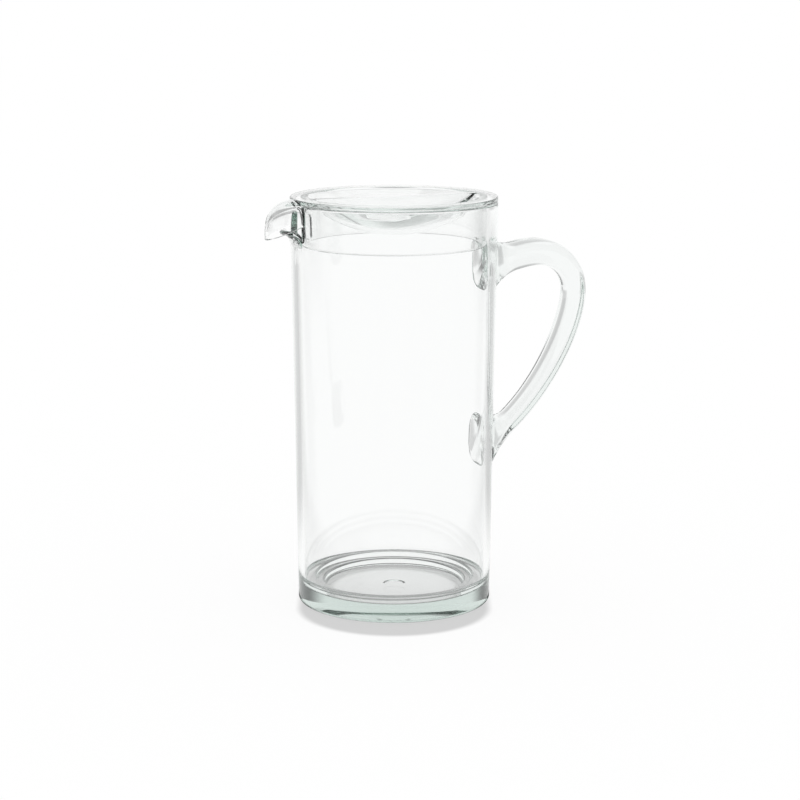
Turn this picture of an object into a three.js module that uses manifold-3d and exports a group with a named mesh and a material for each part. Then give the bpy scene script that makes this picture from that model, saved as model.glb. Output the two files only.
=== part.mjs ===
// A clear plastic water jug: a slightly tapered body with a thick stepped floor and a flared pouring lip
// in a notch of its rim, an ear-shaped handle bonded to the wall, and a lid that lifts straight off. The lid
// has a deep collar with a pouring window, a sunken dish crossed by a grip web, and a beaked hood that
// covers the lip.
// Millimetres, +Z up. The origin is the centre of the base. The spout faces -X and the handle +X.

import * as THREE from "three";
import { mergeVertices } from "three/addons/utils/BufferGeometryUtils.js";
import Module from "manifold-3d";

// Body
const BODY_HEIGHT = 220;
const RIM_RADIUS = 56;
const WALL_TAPER = 3.1;
const WALL = 3.4;
const RIM_ROUND = 0.8;
const FLOOR_THICKNESS = 7.5;
const FLOOR_FILLET = 2;
const UPPER_LEDGE_HEIGHT = 13.4;
const UPPER_LEDGE_INSET = 6.7;
const LOWER_LEDGE_HEIGHT = 10.8;
const LOWER_LEDGE_INSET = 11.4;
const LEDGE_ROUND = 1.6;
const LEDGE_RUN = 3;
const LEDGE_FALL = 5;
const RISER_LEAN = 25;
const GATE_RADIUS = 6.2;
const GATE_SLOPE = 1;
const GATE_DEPTH = 0.3;
const BASE_EDGE_ROUND = 3;

// Pouring notch and lip. The ease and the curl are shares of the lip's reach and rise.
const NOTCH_WIDTH = 18;
const NOTCH_DEPTH = 20.2;
const NOTCH_CORNER = 3;
const LIP_REACH = 7.7;
const LIP_RISE = 7.4;
const LIP_THICKNESS = 2.7;
const LIP_ROOT_DROP = 2;
const LIP_PLAN_RADIUS = 14;
const LIP_EASE = 0.25;
const LIP_CURL = 0.7;
const LIP_CREST_LEAN = 51.5;

// Lid
const SEAT_GAP = 0.3;
const FLANGE_THICKNESS = 2.7;
const FLANGE_ROUND = 0.7;
const COLLAR_CLEARANCE = 2.4;
const COLLAR_DEPTH = 23.3;
const COLLAR_WALL = 2.2;
const COLLAR_DRAFT = 0.5;
const DISH_MARGIN = 1.4;
const DISH_DEPTH = 17.8;
const DISH_THICKNESS = 2.6;
const WEB_THICKNESS = 4;
const WEB_TOP_ROUND = 1.2;
const WEB_CHAMFER = 4.8;
const WEB_END_CHAMFER = 0.6;
const WINDOW_SILL = 5;
const WINDOW_HEAD = 3.9;
const WINDOW_CORNER = 3;

// Hood of the lid
const HOOD_REACH = 16.3;
const HOOD_DROP = 17;
const HOOD_LENGTH_WALL = 1.5;
const HOOD_ROOF = 4;
const HOOD_WIDTH = 23.6;
const HOOD_SIDE_WALL = 2.2;
const HOOD_BEND = 2.3;
const HOOD_SHOULDER = 3;
const HOOD_TIP_DROP = 20.8;
const HOOD_EDGE_SLOPE = 0.43;
const HOOD_CLOSE = 0.995;
const HOOD_CLEARANCE = 0.4;

// Handle
const BOND_GAP = 0.3;
const GRIP_REACH = 51;
const GRIP_HEIGHT = 166.5;
const GRIP_THICKNESS = 12;
const GRIP_WIDTH = 16;
const CROWN_REACH = 26.5;
const CROWN_HEIGHT = 189;
const CROWN_THICKNESS = 15.5;
const ARM_THICKNESS = 10.2;
const TOP_ROOT_HEIGHT = 183;
const LOW_ROOT_HEIGHT = 84;
const ROOT_TALL = 29;
const ROOT_WIDE = 26;
const ROOT_FLARE = 14;
const HANDLE_SQUARENESS = 2.4;

// Bends of the handle, as shares of the reach or height each acts over, and of the path's length
const CROWN_EASE = 0.45;
const GRIP_EASE = 0.58;
const ARM_EASE = 0.27;
const ARM_REACH = 0.58;
const ARM_RISE = 0.13;
const SHOULDER_START = 0.12;
const SHOULDER_END = 0.42;
const ARM_START = 0.5;
const ARM_END = 0.8;

// Smoothness
const AROUND = 64;
const ARC_STEPS = 4;
const DISH_STEPS = 9;
const HANDLE_RINGS = 44;
const HANDLE_SIDES = 20;
const HOOD_RINGS = 10;
const HOOD_SIDES = 16;
const WEB_STATIONS = 20;
const OVERRUN = 5;

// Values that follow from the sizes above
const BASE_RADIUS = RIM_RADIUS - WALL_TAPER;
const LID_UNDERSIDE = BODY_HEIGHT + SEAT_GAP;
const LID_TOP = LID_UNDERSIDE + FLANGE_THICKNESS;
const NOTCH_FLOOR = BODY_HEIGHT - NOTCH_DEPTH;
const COLLAR_RADIUS = RIM_RADIUS - WALL - COLLAR_CLEARANCE;
const COLLAR_INNER_RADIUS = COLLAR_RADIUS - COLLAR_WALL;
const COLLAR_FOOT = LID_UNDERSIDE - COLLAR_DEPTH;
const DISH_RADIUS = COLLAR_INNER_RADIUS - DISH_MARGIN;
const DISH_SPHERE = (DISH_RADIUS ** 2 + DISH_DEPTH ** 2) / (2 * DISH_DEPTH);
const DISH_CENTRE = LID_TOP - DISH_DEPTH + DISH_SPHERE;

const wasm = await Module();
wasm.setup();

/** Radius of the body's outside at a height. */
function wallRadius(z) {
  return THREE.MathUtils.mapLinear(z, 0, BODY_HEIGHT, BASE_RADIUS, RIM_RADIUS);
}

/** Radius of the body's inside at a height. */
function boreRadius(z) {
  return wallRadius(z) - WALL;
}

/** Height of a sphere centred on the axis at the dish's centre, on its lower half. */
function bowlHeight(sphere, radius) {
  return DISH_CENTRE - Math.sqrt(sphere ** 2 - radius ** 2);
}

/** A closed geometry as a solid for joining and cutting. */
function solid(geometry) {
  const bare = geometry.clone();
  for (const name of ["normal", "uv"]) bare.deleteAttribute(name);
  const merged = mergeVertices(bare, 1e-4);
  const corners = Array.from(merged.index.array);
  const triVerts = [];
  for (let i = 0; i < corners.length; i += 3) {
    const [a, b, c] = corners.slice(i, i + 3);
    if (a !== b && b !== c && c !== a) triVerts.push(a, b, c);
  }
  const vertProperties = new Float32Array(merged.attributes.position.array);
  const mesh = new wasm.Mesh({ numProp: 3, vertProperties, triVerts: new Uint32Array(triVerts) });
  return new wasm.Manifold(mesh);
}

/** A solid as a geometry to show. */
function geometryOf(body) {
  const mesh = body.getMesh();
  const geometry = new THREE.BufferGeometry();
  geometry.setAttribute("position", new THREE.BufferAttribute(mesh.vertProperties, 3));
  geometry.setIndex(new THREE.BufferAttribute(mesh.triVerts, 1));
  geometry.computeVertexNormals();
  return geometry;
}

/** Points of a circular arc in the profile plane, from one angle to another in degrees. */
function arc(r, z, radius, from, to, steps = ARC_STEPS) {
  const points = [];
  for (let i = 0; i <= steps; i++) {
    const angle = THREE.MathUtils.degToRad(THREE.MathUtils.lerp(from, to, i / steps));
    points.push(new THREE.Vector2(r + radius * Math.cos(angle), z + radius * Math.sin(angle)));
  }
  return points;
}

/** Points along a bowl's lower half between two radii. */
function bowl(sphere, from, to) {
  const points = [];
  for (let i = 0; i <= DISH_STEPS; i++) {
    const r = THREE.MathUtils.lerp(from, to, i / DISH_STEPS);
    points.push(new THREE.Vector2(r, bowlHeight(sphere, r)));
  }
  return points;
}

/** A profile of radius and height turned round the Z axis. */
function revolve(profile) {
  const lathe = new THREE.LatheGeometry(profile, AROUND);
  return solid(lathe.rotateX(Math.PI / 2));
}

/** A shape in Y and Z pushed along X between two places. */
function extrudeAlongX(shape, from, to) {
  const block = new THREE.ExtrudeGeometry(shape, {
    depth: to - from,
    bevelEnabled: false,
    curveSegments: ARC_STEPS,
  });
  const turn = new THREE.Matrix4().makeBasis(
    new THREE.Vector3(0, 1, 0),
    new THREE.Vector3(0, 0, 1),
    new THREE.Vector3(1, 0, 0),
  );
  return solid(block.applyMatrix4(turn).translate(from, 0, 0));
}

/** A closed skin over rings of points, each ring in the same order, with both ends capped. */
function loft(rings) {
  const count = rings[0].length;
  const points = rings.flat();
  const faces = [];
  for (let k = 0; k + 1 < rings.length; k++) {
    for (let i = 0; i < count; i++) {
      const j = (i + 1) % count;
      const [a, b, c, d] = [k * count + i, k * count + j, (k + 1) * count + j, (k + 1) * count + i];
      faces.push(a, b, c, a, c, d);
    }
  }
  const last = (rings.length - 1) * count;
  for (const [ring, start, flip] of [[rings[0], 0, true], [rings.at(-1), last, false]]) {
    const middle = new THREE.Vector3();
    ring.forEach((p) => middle.addScaledVector(p, 1 / count));
    points.push(middle);
    for (let i = 0; i < count; i++) {
      const pair = [start + i, start + ((i + 1) % count)];
      faces.push(points.length - 1, ...(flip ? pair.reverse() : pair));
    }
  }
  const geometry = new THREE.BufferGeometry().setFromPoints(points);
  return solid(geometry.setIndex(faces));
}

/** A rectangle in the plane with rounded corners. */
function roundedRectangle(left, right, bottom, top, corner) {
  const shape = new THREE.Shape();
  shape.moveTo(left + corner, bottom);
  shape.lineTo(right - corner, bottom);
  shape.absarc(right - corner, bottom + corner, corner, -Math.PI / 2, 0);
  shape.absarc(right - corner, top - corner, corner, 0, Math.PI / 2);
  shape.absarc(left + corner, top - corner, corner, Math.PI / 2, Math.PI);
  shape.absarc(left + corner, bottom + corner, corner, Math.PI, Math.PI * 1.5);
  return shape;
}

/** Everything inside the body's outside, grown by a gap, up to a height. */
function bodyEnvelope(gap, top) {
  return revolve([
    new THREE.Vector2(0, -OVERRUN),
    new THREE.Vector2(wallRadius(-OVERRUN) + gap, -OVERRUN),
    new THREE.Vector2(wallRadius(top) + gap, top),
    new THREE.Vector2(0, top),
  ]);
}

/** One ring-shaped step of the floor, from its rounded edge down a riser to the level below. */
function floorStep(height, inset, below) {
  const edge = boreRadius(height) - inset + LEDGE_ROUND;
  return [
    ...arc(edge, height - LEDGE_ROUND, LEDGE_ROUND, 90 + LEDGE_FALL, 180 - RISER_LEAN, 3),
    ...arc(edge - LEDGE_RUN, below + LEDGE_ROUND, LEDGE_ROUND, -RISER_LEAN, LEDGE_FALL - 90, 3),
  ];
}

/** The tapered cup: rounded at the foot and the rim, with a thick floor that steps down twice to a disc. */
function cup() {
  const half = RIM_ROUND;
  const rim = BODY_HEIGHT - half;
  const filletTop = UPPER_LEDGE_HEIGHT + FLOOR_FILLET;
  const filletMiddle = boreRadius(filletTop) - FLOOR_FILLET;
  return revolve([
    new THREE.Vector2(0, 0),
    ...arc(wallRadius(BASE_EDGE_ROUND) - BASE_EDGE_ROUND, BASE_EDGE_ROUND, BASE_EDGE_ROUND, -90, 0),
    ...arc(wallRadius(rim) - half, rim, half, 0, 90, 2),
    ...arc(boreRadius(rim) + half, rim, half, 90, 180, 2),
    ...arc(filletMiddle, filletTop, FLOOR_FILLET, 0, LEDGE_FALL - 90, 3),
    ...floorStep(UPPER_LEDGE_HEIGHT, UPPER_LEDGE_INSET, LOWER_LEDGE_HEIGHT),
    ...floorStep(LOWER_LEDGE_HEIGHT, LOWER_LEDGE_INSET, FLOOR_THICKNESS),
    new THREE.Vector2(GATE_RADIUS, FLOOR_THICKNESS),
    new THREE.Vector2(GATE_RADIUS - GATE_SLOPE, FLOOR_THICKNESS - GATE_DEPTH),
    new THREE.Vector2(0, FLOOR_THICKNESS - GATE_DEPTH),
  ]);
}

/** The lip's section: it leaves the wall, leans outwards and curls level at the crest. */
function lipSection() {
  const root = NOTCH_FLOOR - LIP_ROOT_DROP;
  const outside = wallRadius(NOTCH_FLOOR);
  const inside = boreRadius(NOTCH_FLOOR) + RIM_ROUND / 2;
  const crestRound = LIP_THICKNESS / 2;
  const crest = new THREE.Vector2(outside + LIP_REACH - crestRound, NOTCH_FLOOR + LIP_RISE - crestRound);
  const leanAngle = THREE.MathUtils.degToRad(LIP_CREST_LEAN);
  const lean = new THREE.Vector2(Math.cos(leanAngle), Math.sin(leanAngle)).multiplyScalar(crestRound);
  const curl = NOTCH_FLOOR + LIP_RISE * LIP_CURL;
  const under = new THREE.CubicBezierCurve(
    new THREE.Vector2(wallRadius(root), root),
    new THREE.Vector2(outside + LIP_REACH * LIP_EASE, NOTCH_FLOOR),
    new THREE.Vector2(outside + LIP_REACH / 2, curl),
    new THREE.Vector2(crest.x + lean.x, crest.y - lean.y),
  );
  const over = new THREE.CubicBezierCurve(
    new THREE.Vector2(crest.x - lean.x, crest.y + lean.y),
    new THREE.Vector2(outside + LIP_REACH * LIP_EASE, curl),
    new THREE.Vector2(outside - WALL * LIP_EASE, NOTCH_FLOOR + LIP_RISE / 2),
    new THREE.Vector2(inside, NOTCH_FLOOR - RIM_ROUND),
  );
  const section = [...under.getPoints(2 * ARC_STEPS), ...over.getPoints(2 * ARC_STEPS)];
  section.push(new THREE.Vector2(inside, root - OVERRUN));
  section.push(new THREE.Vector2(outside - WALL / 2, root - OVERRUN));
  return [...section, section[0].clone()];
}

/** The flared lip: its section turned round the axis, kept to the notch's width and a round plan. */
function pouringLip() {
  const middle = -wallRadius(NOTCH_FLOOR) - LIP_REACH + LIP_PLAN_RADIUS;
  const plan = new THREE.CylinderGeometry(LIP_PLAN_RADIUS, LIP_PLAN_RADIUS, BODY_HEIGHT, AROUND / 2);
  plan.rotateX(Math.PI / 2).translate(middle, 0, BODY_HEIGHT);
  const half = NOTCH_WIDTH / 2;
  const slice = roundedRectangle(-half, half, 0, 2 * BODY_HEIGHT, NOTCH_CORNER);
  return revolve(lipSection())
    .intersect(solid(plan))
    .intersect(extrudeAlongX(slice, -2 * RIM_RADIUS, 0));
}

/** The body: the cup, cut open at the spout, with the pouring lip on the cut's sill. */
function jugBody() {
  const half = NOTCH_WIDTH / 2;
  const opening = roundedRectangle(-half, half, NOTCH_FLOOR, BODY_HEIGHT + 2 * OVERRUN, NOTCH_CORNER);
  const cut = extrudeAlongX(opening, -RIM_RADIUS - OVERRUN, -boreRadius(NOTCH_FLOOR) + 2 * OVERRUN);
  return cup().subtract(cut).add(pouringLip());
}

/** The centre line of the handle, from the upper root over the crown and the grip to the lower root. */
function handlePath() {
  const point = (x, z) => new THREE.Vector3(x, 0, z);
  const crownX = wallRadius(CROWN_HEIGHT) + CROWN_REACH;
  const gripX = wallRadius(GRIP_HEIGHT) + GRIP_REACH;
  const upperX = boreRadius(TOP_ROOT_HEIGHT) - OVERRUN;
  const lowerX = boreRadius(LOW_ROOT_HEIGHT) - OVERRUN;
  const fall = CROWN_HEIGHT - GRIP_HEIGHT;
  const drop = GRIP_HEIGHT - LOW_ROOT_HEIGHT;
  const path = new THREE.CurvePath();
  path.add(
    new THREE.CubicBezierCurve3(
      point(upperX, TOP_ROOT_HEIGHT),
      point(upperX + CROWN_REACH * CROWN_EASE, TOP_ROOT_HEIGHT),
      point(crownX - CROWN_REACH * CROWN_EASE, CROWN_HEIGHT),
      point(crownX, CROWN_HEIGHT),
    ),
  );
  path.add(
    new THREE.CubicBezierCurve3(
      point(crownX, CROWN_HEIGHT),
      point(crownX + (gripX - crownX) * GRIP_EASE, CROWN_HEIGHT),
      point(gripX, GRIP_HEIGHT + fall * GRIP_EASE),
      point(gripX, GRIP_HEIGHT),
    ),
  );
  path.add(
    new THREE.CubicBezierCurve3(
      point(gripX, GRIP_HEIGHT),
      point(gripX, GRIP_HEIGHT - drop * ARM_EASE),
      point(lowerX + (gripX - lowerX) * ARM_REACH, LOW_ROOT_HEIGHT + drop * ARM_RISE),
      point(lowerX, LOW_ROOT_HEIGHT - OVERRUN / 2),
    ),
  );
  return path;
}

/** The handle: a rounded section carried along its path, swelling to a pad at both roots. The sections
 * stand square to the path along the grip and turn upright, level with the wall, towards the roots. */
function handle() {
  const path = handlePath();
  const rings = [];
  for (let k = 0; k <= HANDLE_RINGS; k++) {
    const t = k / HANDLE_RINGS;
    const centre = path.getPointAt(t);
    const along = path.getTangentAt(t);
    const square = new THREE.Vector3(-along.z, 0, along.x);
    const upright = new THREE.Vector3(0, 0, Math.sign(along.x));
    const near = 1 - Math.max(0, centre.x - wallRadius(centre.z)) / ROOT_FLARE;
    const across = square.clone().lerp(upright, THREE.MathUtils.smoothstep(near, -1, 1)).normalize();
    const flare = THREE.MathUtils.clamp(near, 0, 1) ** 2;
    const shoulder = 1 - THREE.MathUtils.smoothstep(t, SHOULDER_START, SHOULDER_END);
    const arm = THREE.MathUtils.smoothstep(t, ARM_START, ARM_END);
    const grip = THREE.MathUtils.lerp(GRIP_THICKNESS, ARM_THICKNESS, arm);
    const tall = THREE.MathUtils.lerp(grip, CROWN_THICKNESS, shoulder) / across.dot(square);
    const halfTall = THREE.MathUtils.lerp(tall, ROOT_TALL, flare) / 2;
    const halfWide = THREE.MathUtils.lerp(GRIP_WIDTH, ROOT_WIDE, flare) / 2;
    const ring = [];
    for (let i = 0; i < HANDLE_SIDES; i++) {
      const angle = (2 * Math.PI * i) / HANDLE_SIDES;
      const [c, s] = [Math.cos(angle), Math.sin(angle)];
      const u = Math.sign(c) * Math.abs(c) ** (2 / HANDLE_SQUARENESS);
      const v = Math.sign(s) * Math.abs(s) ** (2 / HANDLE_SQUARENESS);
      ring.push(centre.clone().addScaledVector(across, -halfTall * u).setY(halfWide * v));
    }
    rings.push(ring);
  }
  return loft(rings).subtract(bodyEnvelope(BOND_GAP, BODY_HEIGHT + OVERRUN));
}

/** The lid's turned form: flange, collar, and the dish sunk into it. */
function lidDisc() {
  const underSphere = DISH_SPHERE + DISH_THICKNESS;
  const footOuter = COLLAR_RADIUS - COLLAR_DRAFT;
  const footInner = footOuter - COLLAR_WALL;
  const footRound = COLLAR_WALL / 2;
  return revolve([
    ...bowl(underSphere, 0, COLLAR_INNER_RADIUS),
    ...arc(footInner + footRound, COLLAR_FOOT + footRound, footRound, 180, 360),
    new THREE.Vector2(COLLAR_RADIUS, LID_UNDERSIDE),
    ...arc(RIM_RADIUS - FLANGE_ROUND, LID_UNDERSIDE + FLANGE_ROUND, FLANGE_ROUND, -90, 0, 2),
    ...arc(RIM_RADIUS - FLANGE_ROUND, LID_TOP - FLANGE_ROUND, FLANGE_ROUND, 0, 90, 2),
    ...bowl(DISH_SPHERE, DISH_RADIUS, 0),
  ]);
}

/** The grip web across the dish: level on top, with a chamfer at its foot that follows the dish and
 * shrinks with the web's height towards both ends. */
function gripWeb() {
  const end = DISH_RADIUS + DISH_MARGIN;
  const half = WEB_THICKNESS / 2;
  const rings = [];
  for (let k = 0; k <= WEB_STATIONS; k++) {
    const x = THREE.MathUtils.lerp(-end, end, k / WEB_STATIONS);
    const dish = bowlHeight(DISH_SPHERE, Math.min(Math.abs(x), DISH_RADIUS));
    const chamfer = THREE.MathUtils.lerp(WEB_END_CHAMFER, WEB_CHAMFER, (LID_TOP - dish) / DISH_DEPTH);
    const topEdge = LID_TOP - WEB_TOP_ROUND;
    const foot = Math.min(dish, topEdge - chamfer);
    const right = [
      new THREE.Vector2(half + chamfer, foot - DISH_THICKNESS / 2),
      new THREE.Vector2(half + chamfer, foot),
      new THREE.Vector2(half, foot + chamfer),
      ...arc(half - WEB_TOP_ROUND, topEdge, WEB_TOP_ROUND, 0, 90),
    ];
    const left = right.map((p) => new THREE.Vector2(-p.x, p.y)).reverse();
    rings.push([...right, ...left].map((p) => new THREE.Vector3(x, p.x, p.y)));
  }
  return loft(rings);
}

/** Stacked half-ellipse rings that shrink towards the top, open to the body at their straight side. */
function beak(reach, rise, halfWidth, bend, shoulder, floor, ceiling) {
  const root = -RIM_RADIUS;
  const shape = (z, power) => {
    const share = Math.max(0, (z - (LID_TOP - HOOD_DROP)) / rise);
    return Math.max(0, 1 - share ** power) ** (1 / power);
  };
  const rings = [];
  for (let k = 0; k <= HOOD_RINGS; k++) {
    const z = THREE.MathUtils.lerp(floor, ceiling, Math.sin(((k / HOOD_RINGS) * Math.PI) / 2));
    const length = reach * shape(z, bend);
    const half = halfWidth * shape(z, shoulder);
    const ring = [new THREE.Vector3(root + 2 * OVERRUN, half, z)];
    for (let i = 0; i <= HOOD_SIDES; i++) {
      const angle = Math.PI / 2 + (Math.PI * i) / HOOD_SIDES;
      ring.push(new THREE.Vector3(root + length * Math.cos(angle), half * Math.sin(angle), z));
    }
    ring.push(new THREE.Vector3(root + 2 * OVERRUN, -half, z));
    rings.push(ring);
  }
  return loft(rings);
}

/** The hood: a hollow beak open below, its edge rising from the tip to the wall, clear of the body. */
function hood() {
  const floor = LID_TOP - HOOD_TIP_DROP;
  const roof = HOOD_DROP - HOOD_ROOF;
  const outer = beak(
    HOOD_REACH, HOOD_DROP, HOOD_WIDTH / 2, HOOD_BEND, HOOD_SHOULDER,
    floor - OVERRUN, LID_TOP - HOOD_DROP + HOOD_DROP * HOOD_CLOSE,
  );
  const inner = beak(
    HOOD_REACH - HOOD_LENGTH_WALL, roof, HOOD_WIDTH / 2 - HOOD_SIDE_WALL, 2, HOOD_SHOULDER,
    floor - 2 * OVERRUN, LID_TOP - HOOD_DROP + roof * HOOD_CLOSE,
  );
  const tip = RIM_RADIUS + HOOD_REACH;
  const edge = (y) => floor + HOOD_EDGE_SLOPE * (tip + y);
  const below = new THREE.Shape();
  below.moveTo(-tip - OVERRUN, edge(-tip - OVERRUN));
  below.lineTo(-tip - OVERRUN, floor - 4 * OVERRUN);
  below.lineTo(-RIM_RADIUS + 4 * OVERRUN, floor - 4 * OVERRUN);
  below.lineTo(-RIM_RADIUS + 4 * OVERRUN, edge(-RIM_RADIUS + 4 * OVERRUN));
  const wedge = new THREE.ExtrudeGeometry(below, { depth: 2 * HOOD_WIDTH, bevelEnabled: false });
  wedge.rotateX(Math.PI / 2).translate(0, HOOD_WIDTH, 0);
  return outer
    .subtract(inner)
    .subtract(solid(wedge))
    .subtract(bodyEnvelope(HOOD_CLEARANCE, LID_UNDERSIDE));
}

/** The lid: the turned form with its web and hood, and a window in the collar behind the lip. */
function lid() {
  const half = NOTCH_WIDTH / 2;
  const sill = COLLAR_FOOT + WINDOW_SILL;
  const head = LID_UNDERSIDE - WINDOW_HEAD;
  const opening = roundedRectangle(-half, half, sill, head, WINDOW_CORNER);
  const window = extrudeAlongX(opening, -COLLAR_RADIUS - OVERRUN / 2, -COLLAR_INNER_RADIUS + OVERRUN);
  return lidDisc().subtract(window).add(gripWeb()).add(hood());
}

const clearPlastic = new THREE.MeshStandardMaterial({
  color: 0xeef7f5,
  roughness: 0.05,
  metalness: 0,
  transparent: true,
  opacity: 0.3,
});

/** A named piece with its material. */
function piece(name, body, material) {
  const mesh = new THREE.Mesh(geometryOf(body), material);
  mesh.name = name;
  return mesh;
}

const jug = new THREE.Group();
jug.add(piece("jug_body", jugBody(), clearPlastic));
jug.add(piece("handle", handle(), clearPlastic));
jug.add(piece("lid", lid(), clearPlastic));

export default jug;
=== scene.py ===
import math

import bmesh
import bpy
import numpy as np
from mathutils import Matrix, Vector


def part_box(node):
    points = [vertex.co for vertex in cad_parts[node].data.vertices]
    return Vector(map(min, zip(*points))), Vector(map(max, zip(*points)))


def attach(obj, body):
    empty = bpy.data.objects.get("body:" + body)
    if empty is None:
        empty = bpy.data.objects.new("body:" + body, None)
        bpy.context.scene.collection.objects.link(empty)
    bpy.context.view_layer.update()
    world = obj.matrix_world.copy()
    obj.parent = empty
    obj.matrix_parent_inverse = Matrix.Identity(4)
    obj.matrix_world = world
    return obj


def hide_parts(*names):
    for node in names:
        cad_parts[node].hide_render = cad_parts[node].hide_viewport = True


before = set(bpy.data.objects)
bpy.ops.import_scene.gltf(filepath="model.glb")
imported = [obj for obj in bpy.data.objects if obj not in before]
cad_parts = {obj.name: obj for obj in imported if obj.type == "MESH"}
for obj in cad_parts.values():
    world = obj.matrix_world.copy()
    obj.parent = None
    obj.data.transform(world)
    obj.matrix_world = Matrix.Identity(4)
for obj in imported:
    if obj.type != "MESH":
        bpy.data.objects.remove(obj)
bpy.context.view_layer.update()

# Sizes in millimetres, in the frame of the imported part
MM = 0.001
body_low, body_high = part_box("jug_body")
lid_low, lid_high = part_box("lid")

# Body
BODY_HEIGHT = body_high.z / MM
RIM_RADIUS = body_high.y / MM
WALL_TAPER = 3.1
WALL = 3.4
RIM_ROUND = 0.8
FLOOR_THICKNESS = 7.5
FLOOR_FILLET = 2.0
UPPER_LEDGE_HEIGHT = 13.4
UPPER_LEDGE_INSET = 6.7
LOWER_LEDGE_HEIGHT = 10.8
LOWER_LEDGE_INSET = 11.4
LEDGE_ROUND = 1.6
LEDGE_RUN = 3.0
LEDGE_FALL = 5.0
RISER_LEAN = 25.0
GATE_RADIUS = 6.2
GATE_SLOPE = 1.0
GATE_DEPTH = 0.3
BASE_EDGE_ROUND = 1.6

# Pouring notch and lip
NOTCH_WIDTH = 18.0
NOTCH_DEPTH = 20.2
NOTCH_CORNER = 3.0
LIP_REACH = 7.7
LIP_RISE = 7.4
LIP_THICKNESS = 2.7
LIP_ROOT_DROP = 2.0
LIP_PLAN_RADIUS = 14.0
LIP_EASE = 0.25
LIP_CURL = 0.7
LIP_CREST_LEAN = 51.5
LIP_BITE = 0.3

# Lid
LID_TOP = lid_high.z / MM
FLANGE_THICKNESS = 2.7
FLANGE_ROUND = 0.7
COLLAR_CLEARANCE = 2.4
COLLAR_FOOT = lid_low.z / MM
COLLAR_WALL = 2.2
COLLAR_DRAFT = 0.5
DISH_MARGIN = 1.4
DISH_EDGE_ROUND = 4.0
DISH_DEPTH = 17.8
DISH_THICKNESS = 2.6
WEB_THICKNESS = 4.0
WEB_TOP_ROUND = 0.4
WEB_TOP_STEP = 0.1
WEB_CHAMFER = 4.8
WEB_END_CHAMFER = 0.6
WINDOW_SILL = 5.0
WINDOW_HEAD = 3.9
WINDOW_CORNER = 3.0

# Hood of the lid
HOOD_REACH = -lid_low.x / MM - RIM_RADIUS
HOOD_DROP = 17.0
HOOD_LENGTH_WALL = 1.5
HOOD_ROOF = 4.0
HOOD_WIDTH = 23.6
HOOD_SIDE_WALL = 2.2
HOOD_BEND = 2.3
HOOD_INSIDE_BEND = 2.0
HOOD_SHOULDER = 3.0
HOOD_TIP_DROP = 20.8
HOOD_EDGE_SLOPE = 0.43
HOOD_CLEARANCE = 0.4

# Handle
GRIP_REACH = 51.0
GRIP_HEIGHT = 166.5
GRIP_THICKNESS = 12.0
GRIP_WIDTH = 16.0
CROWN_REACH = 26.5
CROWN_HEIGHT = 189.0
CROWN_THICKNESS = 15.5
ARM_THICKNESS = 10.2
TOP_ROOT_HEIGHT = 183.0
LOW_ROOT_HEIGHT = 84.0
ROOT_TALL = 29.0
ROOT_WIDE = 26.0
ROOT_FLARE = 14.0
HANDLE_SQUARENESS = 3.0
CROWN_EASE = 0.45
GRIP_EASE = 0.58
ARM_EASE = 0.27
ARM_REACH = 0.58
ARM_RISE = 0.13
SHOULDER_SPAN = (0.12, 0.42)
ARM_SPAN = (0.5, 0.8)

# Fineness of the surfaces
AROUND = 288
ROUND_STEPS = 10
STRAIGHT_STEPS = 16
DISH_STEPS = 48
HANDLE_RINGS = 220
HANDLE_SIDES = 72
HOOD_RINGS = 56
HOOD_SIDES = 72
WEB_STATIONS = 160
LIP_STATIONS = 48
LIP_STEPS = 28
OVERRUN = 5.0
CREASE_ANGLE = math.radians(32)
PATH_POINTS = 600
WELD_GAP = 0.005
SAME_POINT = 1e-6

# Camera, read from the ellipses of the lid and the floor
CAMERA_DISTANCE = 1186.0
CAMERA_HEIGHT = 354.0
CAMERA_AZIMUTH = -20.0
CAMERA_PITCH = 11.58
FOCAL_PIXELS = 2213.0
FRAME_PIXELS = 800.0
AXIS_PIXEL = 394.0
SENSOR = 36.0
NEAREST_VIEW = 0.01
FARTHEST_VIEW = 100.0

# Plastic: share of light lost per metre, as one density and a colour
PLASTIC_DENSITY = 10.0
PLASTIC_COLOUR = (0.55, 0.67, 0.62, 1)
PLASTIC_IOR = 1.5
RIPPLE_SCALE = 34.0
RIPPLE_DETAIL = 1.0
RIPPLE_HEIGHT = 0.00003
WEAR_SCALE = 260.0
WEAR_DETAIL = 3.0
WEAR_SPAN = (0.45, 0.75)
WEAR_ROUGHNESS = (0.0, 0.02)

# Dark flags round the set, seen only in the plastic. Each has a bearing to the right of the view, a half
# width, a lower and an upper edge, all in degrees, and the share of light that it takes. Upper and lower
# edges have one softness, and the sides have another
LEFT_FLAG = (-78.0, 13.0, -6.0, 26.0, 0.9)
RIGHT_FLAG = (92.0, 36.0, -6.0, 44.0, 0.85)
CAMERA_FLAG = (180.0, 52.0, 24.0, 66.0, 0.95)
HIGH_FLAG = (-85.0, 27.0, 45.0, 66.0, 0.9)
FAR_FLAG = (-16.0, 6.0, 26.0, 44.0, 0.5)
FLAG_SOFTNESS = 8.0
FLAG_SIDE_SOFTNESS = 24.0

# Grey strips on the floor, seen only in the plastic. Each has a bearing, a half width and a softness in
# degrees, the distances in metres where it starts, is full, fades and ends, and the share of light it takes
LEFT_STRIP = (-36.0, 4.0, 13.0, 0.06, 0.3, 1.2, 1.8, 0.32)
RIGHT_STRIP = (36.0, 4.0, 13.0, 0.06, 0.3, 1.2, 1.8, 0.36)
HANDLE_STRIP = (64.0, 8.0, 14.0, 0.8, 1.6, 2.5, 3.5, 0.5)

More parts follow.
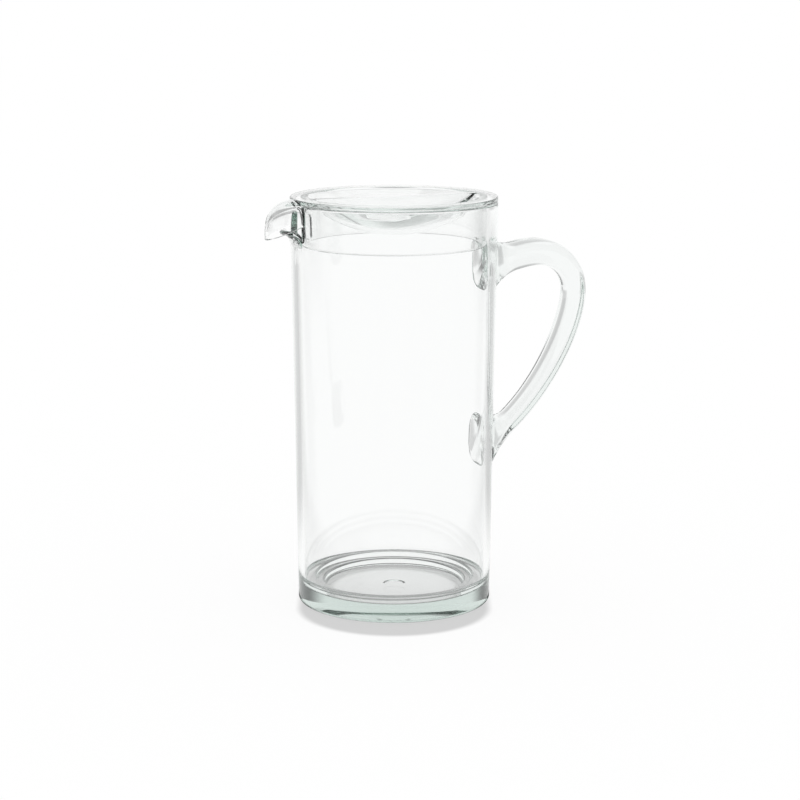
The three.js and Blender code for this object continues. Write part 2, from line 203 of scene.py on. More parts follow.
# Painted shadow that falls towards the camera, in metres
SHADOW_RADIUS = 0.049
SHADOW_REACH = 0.022
SHADOW_SOFTNESS = 0.006
SHADOW_DEPTH = 0.36
SHADOW_BACK_SHARE = 0.55

# Rings of painted contact shade on the floor under the foot, seen only in the plastic. Each has a radius, a
# half width and a softness in metres, and the share of light that it takes
CREVICE_SHADE = (0.0535, 0.0016, 0.0016, 0.9)
FOOT_SHADE = (0.041, 0.005, 0.004, 0.45)

# Least distance from the axis in metres, where a bearing still has a meaning
AXIS_GUARD = 1e-4

# Floor: half its width and its drop below the foot in millimetres, its roughness, and how much of its
# brightness in the picture is its own
FLOOR_HALF = 6000.0
FLOOR_DROP = 0.2
FLOOR_ROUGHNESS = 0.6
FLOOR_LIFT = 0.9

# Bounces that light may make in the plastic
LIGHT_BOUNCES = 32

# Values that follow from the sizes above
BASE_RADIUS = RIM_RADIUS - WALL_TAPER
LID_UNDERSIDE = LID_TOP - FLANGE_THICKNESS
NOTCH_FLOOR = BODY_HEIGHT - NOTCH_DEPTH
COLLAR_RADIUS = RIM_RADIUS - WALL - COLLAR_CLEARANCE
COLLAR_INNER_RADIUS = COLLAR_RADIUS - COLLAR_WALL
DISH_RADIUS = COLLAR_INNER_RADIUS - DISH_MARGIN
DISH_SPHERE = (DISH_RADIUS**2 + DISH_DEPTH**2) / (2 * DISH_DEPTH)
DISH_CENTRE = LID_TOP - DISH_DEPTH + DISH_SPHERE


def wall_radius(z):
    """Outside radius of the body: a straight taper from the base to the rim."""
    return BASE_RADIUS + (RIM_RADIUS - BASE_RADIUS) * z / BODY_HEIGHT


def bore_radius(z):
    """Inside radius of the body: the outside less the wall."""
    return wall_radius(z) - WALL


def bowl_height(sphere, radius):
    """Height of the lower half of a sphere round the dish's centre, at a radius from the axis."""
    return DISH_CENTRE - np.sqrt(sphere**2 - np.square(radius))


def smoothstep(x, low, high):
    """0 below low, 1 above high, and 3 t squared less 2 t cubed between."""
    t = np.clip((x - low) / (high - low), 0, 1)
    return t * t * (3 - 2 * t)


# Outlines in a plane


def stretch(start, end, steps=STRAIGHT_STEPS):
    """A straight stretch whose points crowd towards both ends, as a half cosine does."""
    share = (1 - np.cos(np.linspace(0, np.pi, steps + 1))) / 2
    return np.outer(1 - share, start) + np.outer(share, end)


def arc(across, up, radius, start, end, steps=ROUND_STEPS):
    """Points at even angles on a circle, from one angle in degrees to another."""
    angle = np.radians(np.linspace(start, end, steps + 1))
    return np.column_stack([across + radius * np.cos(angle), up + radius * np.sin(angle)])


def bowl(sphere, start, end):
    """Points of the dish's sphere at even radii between two radii."""
    radius = np.linspace(start, end, DISH_STEPS + 1)
    return np.column_stack([radius, bowl_height(sphere, radius)])


def spot(across, up):
    """One point as an outline of its own."""
    return np.array([[across, up]])


def joined(*parts):
    """Parts of an outline, with a straight stretch from the end of each to the start of the next."""
    rows = [parts[0]]
    for before, after in zip(parts, parts[1:]):
        rows += [stretch(before[-1], after[0])[1:], after[1:]]
    return np.vstack(rows)


def bezier(controls, share):
    """A cubic curve: the four controls weighted by (1-t)^3, 3t(1-t)^2, 3t^2(1-t) and t^3."""
    t = np.asarray(share)[:, None]
    a, b, c, d = np.asarray(controls, float)
    return a * (1 - t) ** 3 + 3 * b * t * (1 - t) ** 2 + 3 * c * t**2 * (1 - t) + d * t**3


def rounded_rectangle(left, right, bottom, top, corner):
    """A closed rectangle with four corner arcs, run round against the clock."""
    loop = joined(
        arc(right - corner, bottom + corner, corner, -90, 0),
        arc(right - corner, top - corner, corner, 0, 90),
        arc(left + corner, top - corner, corner, 90, 180),
        arc(left + corner, bottom + corner, corner, 180, 270),
        arc(right - corner, bottom + corner, corner, -90, -90, 1),
    )
    step = np.linalg.norm(loop - np.roll(loop, 1, axis=0), axis=1)
    return loop[step > SAME_POINT]


# Surfaces


def grid_faces(rows, columns):
    """Corners of the four-sided faces of a grid whose columns run round."""
    row = np.arange(rows - 1)[:, None] * columns
    here = np.arange(columns)[None, :]
    after = (here + 1) % columns
    above = row + columns
    corners = [row + here, row + after, above + after, above + here]
    return np.stack(corners, axis=-1).reshape(-1, 4).tolist()


def cap_faces(start, columns, pole, flip):
    """Three-sided faces from a row of a grid to a pole."""
    j = start + np.arange(columns)
    after = start + (np.arange(columns) + 1) % columns
    pair = [after, j] if flip else [j, after]
    return np.column_stack([*pair, np.full(columns, pole)]).tolist()


def surface(name, points, faces):
    """A mesh object at the origin from points in millimetres."""
    mesh = bpy.data.meshes.new(name)
    mesh.from_pydata((np.asarray(points) * MM).tolist(), [], faces)
    mesh.validate()
    made = bpy.data.objects.new(name, mesh)
    bpy.context.scene.collection.objects.link(made)
    return made


def loft(name, rings):
    """A skin over rings of points, with each end closed to the middle of its ring."""
    rows, columns = rings.shape[:2]
    points = np.vstack([rings.reshape(-1, 3), rings[0].mean(axis=0), rings[-1].mean(axis=0)])
    first, last = rows * columns, rows * columns + 1
    faces = grid_faces(rows, columns)
    faces += cap_faces(0, columns, first, True)
    faces += cap_faces((rows - 1) * columns, columns, last, False)
    return surface(name, points, faces)


def turned(name, profile):
    """A profile of radius r and height z turned round the axis: (r cos a, r sin a, z) at each angle a.
    Each end lies on the axis and becomes one point."""
    angle = np.linspace(0, 2 * np.pi, AROUND, endpoint=False)
    radius, height = profile[1:-1].T
    level = np.broadcast_to(height[:, None], (len(height), AROUND))
    grid = np.stack([np.outer(radius, np.cos(angle)), np.outer(radius, np.sin(angle)), level], axis=-1)
    count = len(height) * AROUND
    poles = [[0, 0, profile[0, 1]], [0, 0, profile[-1, 1]]]
    points = np.vstack([grid.reshape(-1, 3), poles])
    faces = grid_faces(len(height), AROUND)
    faces += cap_faces(0, AROUND, count, True)
    faces += cap_faces(count - AROUND, AROUND, count + 1, False)
    return surface(name, points, faces)


def pushed(name, loop, start, end):
    """A closed outline of Y and Z pushed along X."""
    rings = [np.column_stack([np.full(len(loop), x), loop]) for x in (start, end)]
    return loft(name, np.array(rings))


def combine(target, tool, operation):
    """Joins a tool to a target (UNION) or cuts it away (DIFFERENCE), and removes the tool."""
    change = target.modifiers.new("shape", "BOOLEAN")
    change.operation = operation
    change.solver = "MANIFOLD"
    change.object = tool
    shaped = bpy.data.meshes.new_from_object(target.evaluated_get(bpy.context.evaluated_depsgraph_get()))
    target.modifiers.clear()
    target.data = shaped
    bpy.data.objects.remove(tool)
    return target


def weld(piece):
    """Merges points closer than the weld gap, which clears the slivers that joining leaves."""
    mesh = bmesh.new()
    mesh.from_mesh(piece.data)
    bmesh.ops.remove_doubles(mesh, verts=mesh.verts, dist=WELD_GAP * MM)
    bmesh.ops.dissolve_degenerate(mesh, edges=mesh.edges, dist=WELD_GAP * MM)
    mesh.to_mesh(piece.data)
    mesh.free()


# Body


def body_core(gap, top):
    """Everything inside the body's outside, grown by a gap, up to a height."""
    return turned(
        "core",
        joined(
            spot(0, -OVERRUN),
            spot(wall_radius(-OVERRUN) + gap, -OVERRUN),
            spot(wall_radius(top) + gap, top),
            spot(0, top),
        ),
    )


def floor_step(height, inset, below):
    """One ring-shaped step of the floor: a rounded edge, a leaning riser and a hollow round at its foot."""
    edge = bore_radius(height) - inset + LEDGE_ROUND
    return joined(
        arc(edge, height - LEDGE_ROUND, LEDGE_ROUND, 90 + LEDGE_FALL, 180 - RISER_LEAN),
        arc(edge - LEDGE_RUN, below + LEDGE_ROUND, LEDGE_ROUND, -RISER_LEAN, LEDGE_FALL - 90),
    )


def cup():
    """The tapered cup: a profile from the middle of the underside round the foot, up the wall, over the
    rim, and down over the floor's two steps to its middle."""
    rim = BODY_HEIGHT - RIM_ROUND
    fillet_top = UPPER_LEDGE_HEIGHT + FLOOR_FILLET
    fillet_middle = bore_radius(fillet_top) - FLOOR_FILLET
    return turned(
        "jug_with_handle",
        joined(
            spot(0, 0),
            arc(wall_radius(BASE_EDGE_ROUND) - BASE_EDGE_ROUND, BASE_EDGE_ROUND, BASE_EDGE_ROUND, -90, 0),
            arc(wall_radius(rim) - RIM_ROUND, rim, RIM_ROUND, 0, 90),
            arc(bore_radius(rim) + RIM_ROUND, rim, RIM_ROUND, 90, 180),
            arc(fillet_middle, fillet_top, FLOOR_FILLET, 0, LEDGE_FALL - 90),
            floor_step(UPPER_LEDGE_HEIGHT, UPPER_LEDGE_INSET, LOWER_LEDGE_HEIGHT),
            floor_step(LOWER_LEDGE_HEIGHT, LOWER_LEDGE_INSET, FLOOR_THICKNESS),
            spot(GATE_RADIUS, FLOOR_THICKNESS),
            spot(GATE_RADIUS - GATE_SLOPE, FLOOR_THICKNESS - GATE_DEPTH),
            spot(0, FLOOR_THICKNESS - GATE_DEPTH),
        ),
    )


def lip_section(reach):
    """The lip's closed section for a reach: a curve under it from the wall to the crest, a half round over
    the crest, and a curve back down to the inside of the wall."""
    root = NOTCH_FLOOR - LIP_ROOT_DROP
    outside = wall_radius(NOTCH_FLOOR)
    inside = bore_radius(NOTCH_FLOOR) + RIM_ROUND / 2
    half = LIP_THICKNESS / 2
    crest = np.array([outside + reach - half, NOTCH_FLOOR + LIP_RISE - half])
    lean = math.radians(LIP_CREST_LEAN)
    side = half * np.array([math.cos(lean), -math.sin(lean)])
    curl = NOTCH_FLOOR + LIP_RISE * LIP_CURL
    share = np.linspace(0, 1, LIP_STEPS + 1)
    under = bezier(
        [
            [wall_radius(root), root],
            [outside + reach * LIP_EASE, NOTCH_FLOOR],
            [outside + reach / 2, curl],
            crest + side,
        ],
        share,
    )
    over = bezier(
        [
            crest - side,
            [outside + reach * LIP_EASE, curl],
            [outside - WALL * LIP_EASE, NOTCH_FLOOR + LIP_RISE / 2],
            [inside, NOTCH_FLOOR - RIM_ROUND],
        ],
        share,
    )
    crest_round = arc(*crest, half, -LIP_CREST_LEAN, 180 - LIP_CREST_LEAN)
    foot = [[inside, root - OVERRUN], [outside - WALL / 2, root - OVERRUN]]
    return np.vstack([under, crest_round[1:-1], over, foot])


def pouring_lip():
    """The flared lip: its section carried across the notch, each one turned about the axis to its own side
    step, with a reach that follows a round plan."""
    half = NOTCH_WIDTH / 2 + LIP_BITE
    wall = wall_radius(NOTCH_FLOOR)
    middle = wall + LIP_REACH - LIP_PLAN_RADIUS
    rings = []
    for side in np.linspace(-half, half, LIP_STATIONS + 1):
        edge = middle + math.sqrt(LIP_PLAN_RADIUS**2 - side**2)
        section = lip_section(math.hypot(edge, side) - wall)
        depth = np.sqrt(np.square(section[:, 0]) - side**2)
        rings.append(np.column_stack([-depth, np.full(len(section), side), section[:, 1]]))
    return loft("lip", np.array(rings))


def handle_path(count):
    """Points at even steps along the handle's centre line, and the direction there. The line is three cubic
    curves: root to crown, crown to grip, and grip to the lower root."""
    crown_x = wall_radius(CROWN_HEIGHT) + CROWN_REACH
    grip_x = wall_radius(GRIP_HEIGHT) + GRIP_REACH
    upper_x = bore_radius(TOP_ROOT_HEIGHT) - OVERRUN
    lower_x = bore_radius(LOW_ROOT_HEIGHT) - OVERRUN
    fall = CROWN_HEIGHT - GRIP_HEIGHT
    drop = GRIP_HEIGHT - LOW_ROOT_HEIGHT
    fine = np.linspace(0, 1, PATH_POINTS)
    line = np.vstack(
        [
            bezier(
                [
                    [upper_x, TOP_ROOT_HEIGHT],
                    [upper_x + CROWN_REACH * CROWN_EASE, TOP_ROOT_HEIGHT],
                    [crown_x - CROWN_REACH * CROWN_EASE, CROWN_HEIGHT],
                    [crown_x, CROWN_HEIGHT],
                ],
                fine,
            ),
            bezier(
                [
                    [crown_x, CROWN_HEIGHT],
                    [crown_x + (grip_x - crown_x) * GRIP_EASE, CROWN_HEIGHT],
                    [grip_x, GRIP_HEIGHT + fall * GRIP_EASE],
                    [grip_x, GRIP_HEIGHT],
                ],
                fine,
            )[1:],
            bezier(
                [
                    [grip_x, GRIP_HEIGHT],
                    [grip_x, GRIP_HEIGHT - drop * ARM_EASE],
                    [lower_x + (grip_x - lower_x) * ARM_REACH, LOW_ROOT_HEIGHT + drop * ARM_RISE],
                    [lower_x, LOW_ROOT_HEIGHT - OVERRUN / 2],
                ],
                fine,
            )[1:],
        ]
    )
    length = np.concatenate([[0], np.cumsum(np.linalg.norm(np.diff(line, axis=0), axis=1))])
    even = np.linspace(0, length[-1], count)
    points = np.column_stack([np.interp(even, length, line[:, k]) for k in range(2)])
    along = np.gradient(points, axis=0)
    return points, along / np.linalg.norm(along, axis=1, keepdims=True)


def handle():
    """The handle: a rounded section, |u|^n + |v|^n = 1, carried along the path. It swells to a pad at both
    roots, and turns from square to the path to upright there."""
    centre, along = handle_path(HANDLE_RINGS + 1)
    share = np.linspace(0, 1, HANDLE_RINGS + 1)
    square = np.column_stack([-along[:, 1], along[:, 0]])
    upright = np.column_stack([np.zeros(len(share)), np.sign(along[:, 0])])
    near = 1 - np.maximum(0, centre[:, 0] - wall_radius(centre[:, 1])) / ROOT_FLARE
    turn = smoothstep(near, -1, 1)[:, None]
    across = square * (1 - turn) + upright * turn
    across /= np.linalg.norm(across, axis=1, keepdims=True)
    flare = np.clip(near, 0, 1) ** 2
    shoulder = 1 - smoothstep(share, *SHOULDER_SPAN)
    grip = GRIP_THICKNESS + (ARM_THICKNESS - GRIP_THICKNESS) * smoothstep(share, *ARM_SPAN)
    tall = (grip + (CROWN_THICKNESS - grip) * shoulder) / np.sum(across * square, axis=1)
    half_tall = (tall + (ROOT_TALL - tall) * flare) / 2
    half_wide = (GRIP_WIDTH + (ROOT_WIDE - GRIP_WIDTH) * flare) / 2
    angle = np.linspace(0, 2 * np.pi, HANDLE_SIDES, endpoint=False)
    power = 2 / HANDLE_SQUARENESS
    u = np.sign(np.cos(angle)) * np.abs(np.cos(angle)) ** power
    v = np.sign(np.sin(angle)) * np.abs(np.sin(angle)) ** power
    step = np.outer(-half_tall, u)
    x = centre[:, :1] + across[:, :1] * step
    z = centre[:, 1:] + across[:, 1:] * step
    return loft("handle", np.stack([x, np.outer(half_wide, v), z], axis=-1))


def jug():
    """The cup with its notch, its lip and the handle bonded on: one clear solid."""
    half = NOTCH_WIDTH / 2
    opening = rounded_rectangle(-half, half, NOTCH_FLOOR, BODY_HEIGHT + 2 * OVERRUN, NOTCH_CORNER)
    made = cup()
    cut = pushed("cut", opening, -RIM_RADIUS - OVERRUN, -bore_radius(NOTCH_FLOOR) + 2 * OVERRUN)
    combine(made, cut, "DIFFERENCE")
    combine(made, pouring_lip(), "UNION")
    loop = combine(handle(), body_core(-WALL / 2, BODY_HEIGHT + OVERRUN), "DIFFERENCE")
    return combine(made, loop, "UNION")


# Lid


def dish_edge():
    """The rounding between the flange's top and the dish: an arc that touches both. Its middle lies one
    round below the top and one round outside the dish's sphere."""
    level = LID_TOP - DISH_EDGE_ROUND
    middle = math.sqrt((DISH_SPHERE + DISH_EDGE_ROUND) ** 2 - (DISH_CENTRE - level) ** 2)
    meets = math.degrees(math.atan2(DISH_CENTRE - level, -middle))
    return arc(middle, level, DISH_EDGE_ROUND, 90, meets)


def lid_disc():
    """The lid's turned form: under the dish, down and round the collar's foot, up to the flange, round its
    edge and back over the dish."""
    foot_outer = COLLAR_RADIUS - COLLAR_DRAFT
    foot_round = COLLAR_WALL / 2
    edge = RIM_RADIUS - FLANGE_ROUND
    return turned(
        "lid_with_hood",
        joined(
            bowl(DISH_SPHERE + DISH_THICKNESS, 0, COLLAR_INNER_RADIUS),
            arc(foot_outer - foot_round, COLLAR_FOOT + foot_round, foot_round, 180, 360),
            spot(COLLAR_RADIUS, LID_UNDERSIDE),
            arc(edge, LID_UNDERSIDE + FLANGE_ROUND, FLANGE_ROUND, -90, 0),
            arc(edge, LID_TOP - FLANGE_ROUND, FLANGE_ROUND, 0, 90),
            dish_edge(),
            bowl(DISH_SPHERE, dish_edge()[-1, 0], 0),
        ),
    )


def grip_web():
    """The web across the dish: at each place along it a section with a rounded top and a chamfer at its
    foot. The chamfer follows the dish and shrinks in step with the web's height."""
    end = DISH_RADIUS + DISH_MARGIN
    half = WEB_THICKNESS / 2
    top_edge = LID_TOP - WEB_TOP_STEP - WEB_TOP_ROUND
    top = arc(half - WEB_TOP_ROUND, top_edge, WEB_TOP_ROUND, 0, 90)
    rings = []
    for x in np.linspace(-end, end, WEB_STATIONS + 1):
        dish = bowl_height(DISH_SPHERE, min(abs(x), DISH_RADIUS))
        chamfer = WEB_END_CHAMFER + (WEB_CHAMFER - WEB_END_CHAMFER) * (LID_TOP - dish) / DISH_DEPTH
        foot = min(dish, top_edge - chamfer)
        slope = stretch([half + chamfer, foot], [half, foot + chamfer], ROUND_STEPS)
        right = np.vstack([spot(half + chamfer, foot - DISH_THICKNESS / 2), slope, top])
        left = right[::-1] * np.array([-1, 1])
        loop = np.vstack([right, left])
        rings.append(np.column_stack([np.full(len(loop), x), loop]))
    return loft("web", np.array(rings))


def beak(name, reach, rise, half_width, bend, floor):
    """A beak: level rings, each a half ellipse with straight sides back to the lid. Length and width follow
    (1 - s^n)^(1/n) over the share s of the rise, with one power for the length and one for the width."""
    foot = LID_TOP - HOOD_DROP
    climb = np.sin(np.linspace(0, np.pi / 2, HOOD_RINGS + 1)[:-1])
    share = np.concatenate([[(floor - foot) / rise], climb])
    above = np.maximum(share, 0)
    length = reach * (1 - above**bend) ** (1 / bend)
    half = half_width * (1 - above**HOOD_SHOULDER) ** (1 / HOOD_SHOULDER)
    angle = np.linspace(np.pi / 2, 3 * np.pi / 2, HOOD_SIDES + 1)
    x = -RIM_RADIUS + np.outer(length, np.cos(angle))
    y = np.outer(half, np.sin(angle))
    inside = np.full((len(share), 1), -RIM_RADIUS + 2 * OVERRUN)
    x = np.hstack([inside, x, inside])
    y = np.hstack([half[:, None], y, -half[:, None]])
    z = np.broadcast_to((foot + share * rise)[:, None], x.shape)
    return loft(name, np.stack([x, y, z], axis=-1))


def hood():
    """The hood: a hollow beak, cut along a slope that rises from its tip, and kept clear of the body."""
    floor = LID_TOP - HOOD_TIP_DROP
    roof = HOOD_DROP - HOOD_ROOF
    made = beak("hood", HOOD_REACH, HOOD_DROP, HOOD_WIDTH / 2, HOOD_BEND, floor - OVERRUN)
    space = beak(
        "space",
        HOOD_REACH - HOOD_LENGTH_WALL,
        roof,
        HOOD_WIDTH / 2 - HOOD_SIDE_WALL,
        HOOD_INSIDE_BEND,
        floor - 2 * OVERRUN,
    )
    combine(made, space, "DIFFERENCE")
    tip = RIM_RADIUS + HOOD_REACH
    far = -tip - OVERRUN
    near = -RIM_RADIUS + 4 * OVERRUN
    slope = [floor + HOOD_EDGE_SLOPE * (tip + x) for x in (far, near)]
    bottom = floor - 4 * OVERRUN
    corners = np.array([[far, slope[0]], [far, bottom], [near, bottom], [near, slope[1]]])
    ring = np.column_stack([corners[:, 0], np.zeros(4), corners[:, 1]])
    sides = np.array([[0, HOOD_WIDTH, 0], [0, -HOOD_WIDTH, 0]])
    combine(made, loft("below", ring[None] + sides[:, None]), "DIFFERENCE")
    return combine(made, body_core(HOOD_CLEARANCE, LID_UNDERSIDE), "DIFFERENCE")


def lid():
    """The lid: the turned form with a window in its collar behind the lip, the grip web and the hood."""
    half = NOTCH_WIDTH / 2
    head = LID_UNDERSIDE - WINDOW_HEAD
    opening = rounded_rectangle(-half, half, COLLAR_FOOT + WINDOW_SILL, head, WINDOW_CORNER)
    made = lid_disc()
    cut = pushed("window", opening, -COLLAR_RADIUS - OVERRUN / 2, -COLLAR_INNER_RADIUS + OVERRUN)
    combine(made, cut, "DIFFERENCE")
    combine(made, grip_web(), "UNION")
    return combine(made, hood(), "UNION")


# Shader nodes


def node(tree, kind, **inputs):
    """A shader node with its named inputs set to values or linked to other sockets."""
    made = tree.nodes.new(kind)
    for name, value in inputs.items():
        socket = made.inputs[int(name[1:])] if name[1:].isdigit() else made.inputs[name.replace("_", " ")]
        if isinstance(value, bpy.types.NodeSocket):
            tree.links.new(value, socket)
        else:
            socket.default_value = value
    return made


def figure(tree, operation, *values):
    """The result of a sum on sockets or numbers."""
    made = node(tree, "ShaderNodeMath", **{f"i{k}": value for k, value in enumerate(values)})
    made.operation = operation
    return made.outputs[0]


def left_of(tree, share):
    """What is left of one when a share is taken."""
    return figure(tree, "SUBTRACT", 1.0, share)


def ramp(tree, value, low, high):
    """0 below low and 1 above high, with a smooth rise between. A low above high turns it round."""
    made = node(tree, "ShaderNodeMapRange", i0=value, i1=low, i2=high, i3=0.0, i4=1.0)
    made.interpolation_type = "SMOOTHSTEP"
    return made.outputs[0]


# Materials


def clear_plastic():
    """Clear moulded plastic: a glossy see-through skin with faint ripples and fine wear, and inside it
    a little loss of light, least in green."""
    material = bpy.data.materials.new("clear_plastic")
    material.use_nodes = True
    tree = material.node_tree
    shader = tree.nodes["Principled BSDF"]
    shader.inputs["Base Color"].default_value = (1, 1, 1, 1)
    shader.inputs["IOR"].default_value = PLASTIC_IOR
    shader.inputs["Transmission Weight"].default_value = 1.0
    place = tree.nodes.new("ShaderNodeTexCoord").outputs["Object"]
    ripple = node(tree, "ShaderNodeTexNoise", Vector=place, Scale=RIPPLE_SCALE, Detail=RIPPLE_DETAIL)
    bump = node(tree, "ShaderNodeBump", Height=ripple.outputs[0], Distance=RIPPLE_HEIGHT, Strength=1.0)
    wear = node(tree, "ShaderNodeTexNoise", Vector=place, Scale=WEAR_SCALE, Detail=WEAR_DETAIL)
    start, end = WEAR_SPAN
    low, high = WEAR_ROUGHNESS
    rough = node(tree, "ShaderNodeMapRange", i0=wear.outputs[0], i1=start, i2=end, i3=low, i4=high)
    tree.links.new(bump.outputs[0], shader.inputs["Normal"])
    tree.links.new(rough.outputs[0], shader.inputs["Roughness"])
    inside = tree.nodes.new("ShaderNodeVolumeAbsorption")
    inside.inputs["Color"].default_value = PLASTIC_COLOUR
    inside.inputs["Density"].default_value = PLASTIC_DENSITY
    output = tree.nodes["Material Output"]
    tree.links.new(inside.outputs["Volume"], output.inputs["Volume"])
    return material


def dress(piece, body, nodes, material):
    """Welds and smooths a piece, keeps its creases sharp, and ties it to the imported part."""
    weld(piece)
    piece.data.materials.clear()
    piece.data.materials.append(material)
    piece.data.shade_smooth()
    piece.data.set_sharp_from_angle(angle=CREASE_ANGLE)
    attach(piece, body)
    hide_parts(*nodes)


# Studio


def turned_axis(tree, x, y, bearing):
    """The share of a place or direction that lies along a bearing to the right of the camera's view."""
    angle = math.radians(90 + CAMERA_AZIMUTH - bearing)
    along_x = figure(tree, "MULTIPLY", x, math.cos(angle))
    along_y = figure(tree, "MULTIPLY", y, math.sin(angle))
    return figure(tree, "ADD", along_x, along_y)


def flat_length(tree, x, y):
    """Distance from the upright axis: the root of x squared plus y squared."""
    squares = [figure(tree, "POWER", part, 2.0) for part in (x, y)]
    return figure(tree, "SQRT", figure(tree, "ADD", *squares))


def sector(tree, x, y, bearing, half, softness):
    """1 in a sector round the upright axis, with soft sides."""
    length = figure(tree, "MAXIMUM", flat_length(tree, x, y), AXIS_GUARD)
    cosine = figure(tree, "DIVIDE", turned_axis(tree, x, y, bearing), length)
    return ramp(tree, cosine, math.cos(math.radians(half + softness)), math.cos(math.radians(half)))


def flag(tree, direction, bearing, half, low, high, share):
    """What a dark flag leaves of the light from a direction."""
    x, y, z = direction
    edges = [math.sin(math.radians(e)) for e in (low - FLAG_SOFTNESS, low, high, high + FLAG_SOFTNESS)]
    side = sector(tree, x, y, bearing, half, FLAG_SIDE_SOFTNESS)
    band = figure(tree, "MULTIPLY", ramp(tree, z, edges[0], edges[1]), ramp(tree, z, edges[3], edges[2]))
    taken = figure(tree, "MULTIPLY", figure(tree, "MULTIPLY", side, band), share)
    return left_of(tree, taken)


def strip(tree, x, y, bearing, half, softness, start, full, fade, end, share):
    """What a grey strip leaves of the light from a place on the floor."""
    side = sector(tree, x, y, bearing, half, softness)
    distance = flat_length(tree, x, y)
    far = figure(tree, "MULTIPLY", ramp(tree, distance, start, full), ramp(tree, distance, end, fade))
    taken = figure(tree, "MULTIPLY", figure(tree, "MULTIPLY", side, far), share)
    return left_of(tree, taken)


def ring(tree, x, y, radius, half, softness, share):
    """What a ring of painted shade leaves of the light from a place on the floor."""
    off = figure(tree, "ABSOLUTE", figure(tree, "SUBTRACT", flat_length(tree, x, y), radius))
    shade = ramp(tree, off, half + softness, half)
    return left_of(tree, figure(tree, "MULTIPLY", shade, share))


def seen_in_plastic(tree):
    """1 for rays that come through the plastic or off its surface."""
    seen = tree.nodes.new("ShaderNodeLightPath")
    return figure(tree, "MAXIMUM", seen.outputs["Is Transmission Ray"], seen.outputs["Is Glossy Ray"])


def left_by_painted_shadow(tree, x, y):
    """What the painted shadow leaves: a round patch under the foot, drawn out and deeper towards the
    camera.
    """
    along = turned_axis(tree, x, y, 180.0)
    across = turned_axis(tree, x, y, 90.0)
    inside = figure(tree, "MINIMUM", figure(tree, "MAXIMUM", along, 0.0), SHADOW_REACH)
    distance = flat_length(tree, figure(tree, "SUBTRACT", along, inside), across)
    shade = ramp(tree, distance, SHADOW_RADIUS + SHADOW_SOFTNESS, SHADOW_RADIUS)
    front = ramp(tree, along, -SHADOW_RADIUS, SHADOW_REACH)
    depth = figure(tree, "MULTIPLY_ADD", front, 1 - SHADOW_BACK_SHARE, SHADOW_BACK_SHARE)
    taken = figure(tree, "MULTIPLY", figure(tree, "MULTIPLY", shade, depth), SHADOW_DEPTH)
    return left_of(tree, taken)


def white_floor():
    """A wide white floor with a painted shadow of the jug in its glow, and a tenth of its real shading for
    the camera. In the plastic the grey strips and the rings of painted shade show.
    """
    size = FLOOR_HALF
    level = -FLOOR_DROP
    corners = [[-size, -size, level], [size, -size, level], [size, size, level], [-size, size, level]]
    made = surface("floor", corners, [[0, 1, 2, 3]])
    material = bpy.data.materials.new("floor_paper")
    material.use_nodes = True
    tree = material.node_tree
    shader = tree.nodes["Principled BSDF"]
    shader.inputs["Base Color"].default_value = (1, 1, 1, 1)
    shader.inputs["Roughness"].default_value = FLOOR_ROUGHNESS
    shader.inputs["Specular IOR Level"].default_value = 0.0
    place = node(tree, "ShaderNodeSeparateXYZ", i0=tree.nodes.new("ShaderNodeTexCoord").outputs["Object"])
    x, y = place.outputs[0], place.outputs[1]
    # Painted contact shade in rings under the foot, seen only in the plastic
    left = figure(tree, "MULTIPLY", ring(tree, x, y, *CREVICE_SHADE), ring(tree, x, y, *FOOT_SHADE))
    for each in (LEFT_STRIP, RIGHT_STRIP, HANDLE_STRIP):
        left = figure(tree, "MULTIPLY", left, strip(tree, x, y, *each))
    glass = seen_in_plastic(tree)
    bright = left_of(tree, figure(tree, "MULTIPLY", glass, left_of(tree, left)))
    # Painted shadow of the jug, in the glow that the camera and the plastic both see
    strength = figure(tree, "MULTIPLY", bright, left_by_painted_shadow(tree, x, y))
    sheet = node(tree, "ShaderNodeEmission", i0=(1, 1, 1, 1), i1=strength)
    camera_ray = tree.nodes.new("ShaderNodeLightPath").outputs["Is Camera Ray"]
    share = figure(tree, "MAXIMUM", glass, figure(tree, "MULTIPLY", camera_ray, FLOOR_LIFT))
    mixed = node(tree, "ShaderNodeMixShader", i0=share, i1=shader.outputs[0], i2=sheet.outputs[0])
    tree.links.new(mixed.outputs[0], tree.nodes["Material Output"].inputs["Surface"])
    made.data.materials.append(material)


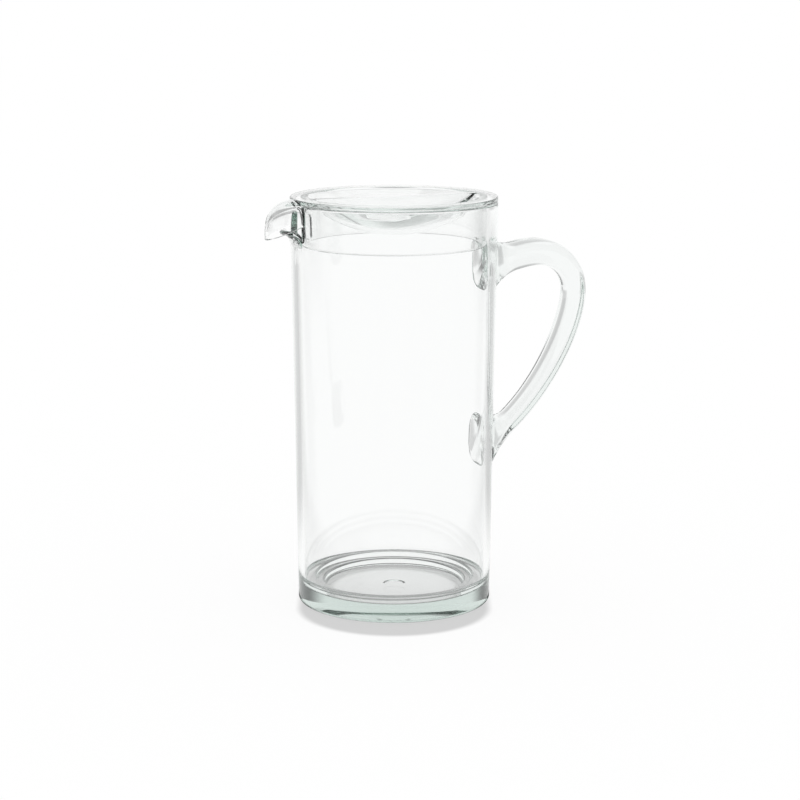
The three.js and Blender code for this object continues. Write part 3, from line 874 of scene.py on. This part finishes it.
def studio_light():
    """A white room. In the plastic the dark flags show."""
    world = bpy.data.worlds.new("studio")
    world.use_nodes = True
    bpy.context.scene.world = world
    tree = world.node_tree
    background = tree.nodes["Background"]
    toward = tree.nodes.new("ShaderNodeTexCoord").outputs["Generated"]
    direction = node(tree, "ShaderNodeSeparateXYZ", i0=toward)
    left = 1.0
    for each in (LEFT_FLAG, RIGHT_FLAG, CAMERA_FLAG, HIGH_FLAG, FAR_FLAG):
        left = figure(tree, "MULTIPLY", left, flag(tree, direction.outputs, *each))
    taken = figure(tree, "MULTIPLY", seen_in_plastic(tree), left_of(tree, left))
    background.inputs["Color"].default_value = (1, 1, 1, 1)
    tree.links.new(left_of(tree, taken), background.inputs["Strength"])


def camera():
    """A long lens at the photograph's height, distance and angle."""
    data = bpy.data.cameras.new("camera")
    data.sensor_width = SENSOR
    data.lens = SENSOR * FOCAL_PIXELS / FRAME_PIXELS
    data.shift_x = (FRAME_PIXELS / 2 - AXIS_PIXEL) / FRAME_PIXELS
    data.clip_start = NEAREST_VIEW
    data.clip_end = FARTHEST_VIEW
    made = bpy.data.objects.new("camera", data)
    bpy.context.scene.collection.objects.link(made)
    azimuth, pitch = math.radians(CAMERA_AZIMUTH), math.radians(CAMERA_PITCH)
    side = Vector((math.sin(azimuth), -math.cos(azimuth), 0))
    place = side * CAMERA_DISTANCE * MM + Vector((0, 0, CAMERA_HEIGHT * MM))
    look = -side * math.cos(pitch) - Vector((0, 0, math.sin(pitch)))
    made.matrix_world = Matrix.Translation(place) @ look.to_track_quat("-Z", "Y").to_matrix().to_4x4()
    bpy.context.scene.camera = made


plastic = clear_plastic()
dress(jug(), "jug", ["jug_body", "handle"], plastic)
dress(lid(), "lid", ["lid"], plastic)
white_floor()
studio_light()
camera()
scene = bpy.context.scene
scene.cycles.max_bounces = LIGHT_BOUNCES
scene.cycles.transmission_bounces = LIGHT_BOUNCES
scene.cycles.glossy_bounces = LIGHT_BOUNCES
scene.view_settings.view_transform = "Standard"
